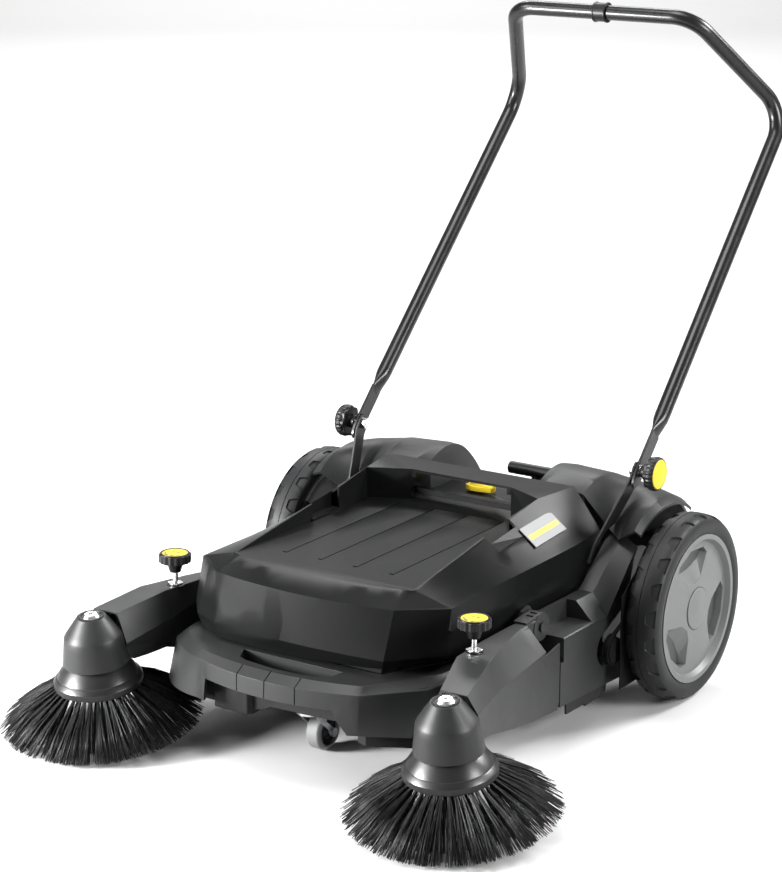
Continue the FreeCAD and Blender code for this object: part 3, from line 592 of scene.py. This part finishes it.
# ---------------------------------------------------------------- clamp knobs
def clamp_knob(side, tag):
    """Fluted knob on the handle's bolt, with a domed yellow cap."""
    axis = cross_axle(side, "clamp_turn_" + tag)
    lathe("clamp." + tag, "clamp_knob_" + tag, "black_plastic",
          [(4.2, 273), (10.6, 273), (11, 274), (10.2, 281), (13, 286.4), (23, 287.4), (25.8, 288.4),
           (27, 291), (27, 297.6), (25.9, 300.2), (24.8, 301.3), (23.9, 301.3), (23.5, 300.4), (4.2, 300.4)],
          axis, 192, replaces=["star_knob_" + tag], lobes=24, grip_r=25.7)
    lathe("clamp_cap." + tag, "clamp_knob_" + tag, "yellow_plastic",
          [(23.3, 300.0), (23.3, 301.4), (22.5, 302.0), (12, 302.5), (0.0, 302.7)], axis,
          replaces=["star_knob_cap_" + tag])


for side, tag in SIDES:
    clamp_knob(side, tag)


# ---------------------------------------------------------------- push handle
TUBE_R = 12.5
BEND_R = 55.0
HOLE = Vector((264.0, -8, 360))
FOOT = Vector((266.0, -8, 360))
GRIP = Vector((258.0, 490, 863))
BAR_END = Vector((169.0, 318, 1032))
BAR_MIDDLE = Vector((0.2, 318, 1032))
LEG = (GRIP - HOLE).normalized()

# How the tube flattens towards its foot: (distance above the bolt, half thickness, half width).
FLATTENING = ((62, 2.5, 12.9), (66, 2.7, 13.1), (74, 4.6, 13.6), (84, 8.4, 13.3), (94, 11.6, 12.8),
              (104, TUBE_R, TUBE_R))


def bend(before, corner, after, steps=12):
    """Points of the arc that rounds a corner of the tube's centre line."""
    a = (before - corner).normalized()
    b = (after - corner).normalized()
    half = math.acos(max(-1.0, min(1.0, a.dot(b)))) / 2
    p = corner + a * (BEND_R / math.tan(half))
    q = corner + b * (BEND_R / math.tan(half))
    centre = corner + (a + b).normalized() * (BEND_R / math.sin(half))
    return [centre + (p.lerp(q, k / steps) - centre).normalized() * BEND_R for k in range(steps + 1)]


def sweep(name, body, slot, path, sizes, replaces, n=28):
    """Tube along a path; sizes are the two half axes of each section, the first one along X at the start."""
    verts, faces = [], []
    a = Vector((1, 0, 0))
    last = len(path) - 1
    for k, p in enumerate(path):
        t = (path[min(k + 1, last)] - path[max(k - 1, 0)]).normalized()
        a = (a - t * a.dot(t)).normalized()
        b = t.cross(a)
        ra, rb = sizes[k]
        for j in range(n):
            w = 2 * math.pi * j / n
            verts.append(p + a * (ra * math.cos(w)) + b * (rb * math.sin(w)))
    for k in range(last):
        for j in range(n):
            m = (j + 1) % n
            faces.append((k * n + j, k * n + m, (k + 1) * n + m, (k + 1) * n + j))
    faces.append(tuple(range(n))[::-1])
    faces.append(tuple(range(last * n, (last + 1) * n)))
    piece(name, body, slot, verts, faces, replaces=replaces, angle=0.7)


def handle_tube(side, tag):
    """Round tube, flattened towards its bolt hole, bent at the grip and again into the cross bar."""
    path = [FOOT + LEG * d for d, _, _ in FLATTENING]
    path += bend(FOOT + LEG * 62, GRIP, BAR_END)
    path += bend(GRIP, BAR_END, BAR_MIDDLE)
    path.append(BAR_MIDDLE)
    sizes = [(thick / 1000, wide / 1000) for _, thick, wide in FLATTENING]
    sizes += [(TUBE_R / 1000, TUBE_R / 1000)] * (len(path) - len(sizes))
    line = [at(side, *p) for p in path]
    sweep("tube." + tag, "push_handle", "black_tube", line, sizes, ["handle_tube_" + tag])


def handle_foot(side, tag):
    """Flat foot of the tube, with a rounded end round the bolt."""
    half = 13
    wide = LEG.cross(Vector((1, 0, 0))).normalized()
    turns = [math.pi * k / 12 for k in range(13)]
    end = [FOOT - LEG * (30.6 * math.sin(a)) + wide * (half * math.cos(a)) for a in turns]
    line = [FOOT + LEG * 70 + wide * half, *end, FOOT + LEG * 70 - wide * half]
    low, high = ([at(side, x, p.y, p.z) for p in line] for x in (263.7, 268.3))
    piece("foot." + tag, "push_handle", "black_tube", *prism(low, high, side > 0), bevel=0.0006)


for side, tag in SIDES:
    handle_tube(side, tag)
    handle_foot(side, tag)


# ---------------------------------------------------------------- hopper: plate and finger pockets
# The lid's side band slopes from the dish up to its outer fold. The dish rises from front to rear.
BAND_IN_X, FOLD_X, FOLD_Z = 161.0, 225.0, 264.0
DISH_FRONT_Y, DISH_LENGTH, DISH_Z, DISH_REAR_Z = -494, 351, 281.0, 331.0
POCKET_FRONT, POCKET_REAR = -300.2, -227.8


def band_plate():
    """Pale plate with a plain yellow stripe, set in the side band."""
    place = (Matrix.Translation(at(1, 193, -182, 296.6)) @ Matrix.Rotation(math.radians(3.5), 4, "X")
             @ Matrix.Rotation(math.radians(39), 4, "Y"))
    plate("label", "hopper", "plate_white", box_outline(-19, -46, 19, 46), place, 1.25, bevel=0.0004)
    plate("stripe", "hopper", "yellow_plastic", box_outline(-2.5, -42, 6, 42), place, 1.45)


def band_z(x, y):
    """Height of the sloping side band at a point."""
    inner = DISH_Z + (DISH_REAR_Z - DISH_Z) * (y - DISH_FRONT_Y) / DISH_LENGTH
    return inner + (FOLD_Z - inner) * (x - BAND_IN_X) / (FOLD_X - BAND_IN_X)


def finger_pocket(side, tag):
    """Filler that narrows the pocket from its outer side, and painted shade: a dark sheet on the floor that
    is left, darkening the recess.
    """
    outline = box_outline(172, POCKET_FRONT, 187, POCKET_REAR)
    low = [at(side, x, y, DISH_Z + 3) for x, y in outline]
    high = [at(side, x, y, band_z(x, y)) for x, y in outline]
    piece("pocket_back." + tag, "hopper", "hopper_plastic", *prism(low, high, side < 0))
    outline = box_outline(160, POCKET_FRONT + 0.6, 171.6, POCKET_REAR - 0.6)
    low, high = ([at(side, x, y, DISH_Z + z) for x, y in outline] for z in (4.2, 4.8))
    piece("pocket_shade." + tag, "hopper", "hopper_plastic", *prism(low, high, side < 0), mat="painted_shade_black")


band_plate()
for side, tag in SIDES:
    finger_pocket(side, tag)


# ---------------------------------------------------------------- floor, light and camera, metres
VIEW_AZIMUTH = math.radians(33.686)
VIEW_ELEVATION = math.radians(15.325)

# Area lights: name, place, target, width, height, watts.
LIGHTS = (
    ("back", (2.2, 2.9, 2.9), (0, 0, 0.2), 1.6, 1.2, 330),
    ("wall", (-3.8, 5.0, 5.5), (-4.4, 7.0, 0), 4.0, 4.0, 850),
    ("front_left", (-1.62, -2.08, 0.70), (-0.1, -0.4, 0.2), 0.6, 0.5, 260),
    ("key", (-2.6, -2.0, 2.3), (0, -0.2, 0.2), 1.6, 1.6, 120),
    ("right", (3.4, 0.0, 1.5), (0.2, 0, 0.2), 1.2, 1.2, 160),
    ("top", (-0.4, -0.6, 4.2), (0, -0.2, 0.2), 2.0, 2.0, 140),
)


def backdrop():
    """Pale floor that curves up into a far wall, square to the camera's view."""
    half, bend_start, bend_r, wall_top = 30.0, 9.5, 2.0, 12.0
    rows = [(-half, 0.0), (bend_start, 0.0)]
    for k in range(1, 13):
        a = math.pi / 2 * k / 12
        rows.append((bend_start + bend_r * math.sin(a), bend_r - bend_r * math.cos(a)))
    rows.append((bend_start + bend_r, wall_top))
    turn = Matrix.Rotation(math.radians(33.7), 4, "Z")
    verts = [tuple(turn @ Vector((x, y, z - 0.0005))) for y, z in rows for x in (-half, half)]
    faces = [(2 * k, 2 * k + 1, 2 * k + 3, 2 * k + 2) for k in range(len(rows) - 1)]
    me = bpy.data.meshes.new("floor")
    me.from_pydata(verts, [], faces)
    for p in me.polygons:
        p.use_smooth = True
    mat, _, bsdf = new_material("floor")
    bsdf.inputs["Base Color"].default_value = (0.44, 0.44, 0.44, 1)
    bsdf.inputs["Roughness"].default_value = 0.8
    me.materials.append(mat)
    to_scene(bpy.data.objects.new("floor", me))


def area(name, place, target, width, height, power):
    data = bpy.data.lights.new(name, "AREA")
    data.energy = power
    data.shape = "RECTANGLE"
    data.size = width
    data.size_y = height
    obj = to_scene(bpy.data.objects.new(name, data))
    obj.location = place
    obj.rotation_mode = "QUATERNION"
    obj.rotation_quaternion = (Vector(target) - Vector(place)).to_track_quat("-Z", "Y")


def daylight():
    """Faint even white light from all round."""
    world = bpy.data.worlds.new("world")
    bpy.context.scene.world = world
    world.use_nodes = True
    background = world.node_tree.nodes["Background"]
    background.inputs["Color"].default_value = (1, 1, 1, 1)
    background.inputs["Strength"].default_value = 0.30


def add_camera():
    data = bpy.data.cameras.new("camera")
    data.sensor_width = 36.0
    data.lens = 105.13
    data.clip_end = 100.0
    camera = to_scene(bpy.data.objects.new("camera", data))
    level = math.cos(VIEW_ELEVATION)
    look = Vector((-math.sin(VIEW_AZIMUTH) * level, math.cos(VIEW_AZIMUTH) * level,
                   -math.sin(VIEW_ELEVATION)))
    camera.location = (2.07347, AXLE_Y - 3.42419, 1.47083)
    camera.rotation_mode = "QUATERNION"
    camera.rotation_quaternion = look.to_track_quat("-Z", "Y")
    bpy.context.scene.camera = camera


backdrop()
for light in LIGHTS:
    area(*light)
daylight()
bpy.context.scene.view_settings.view_transform = "Standard"
add_camera()
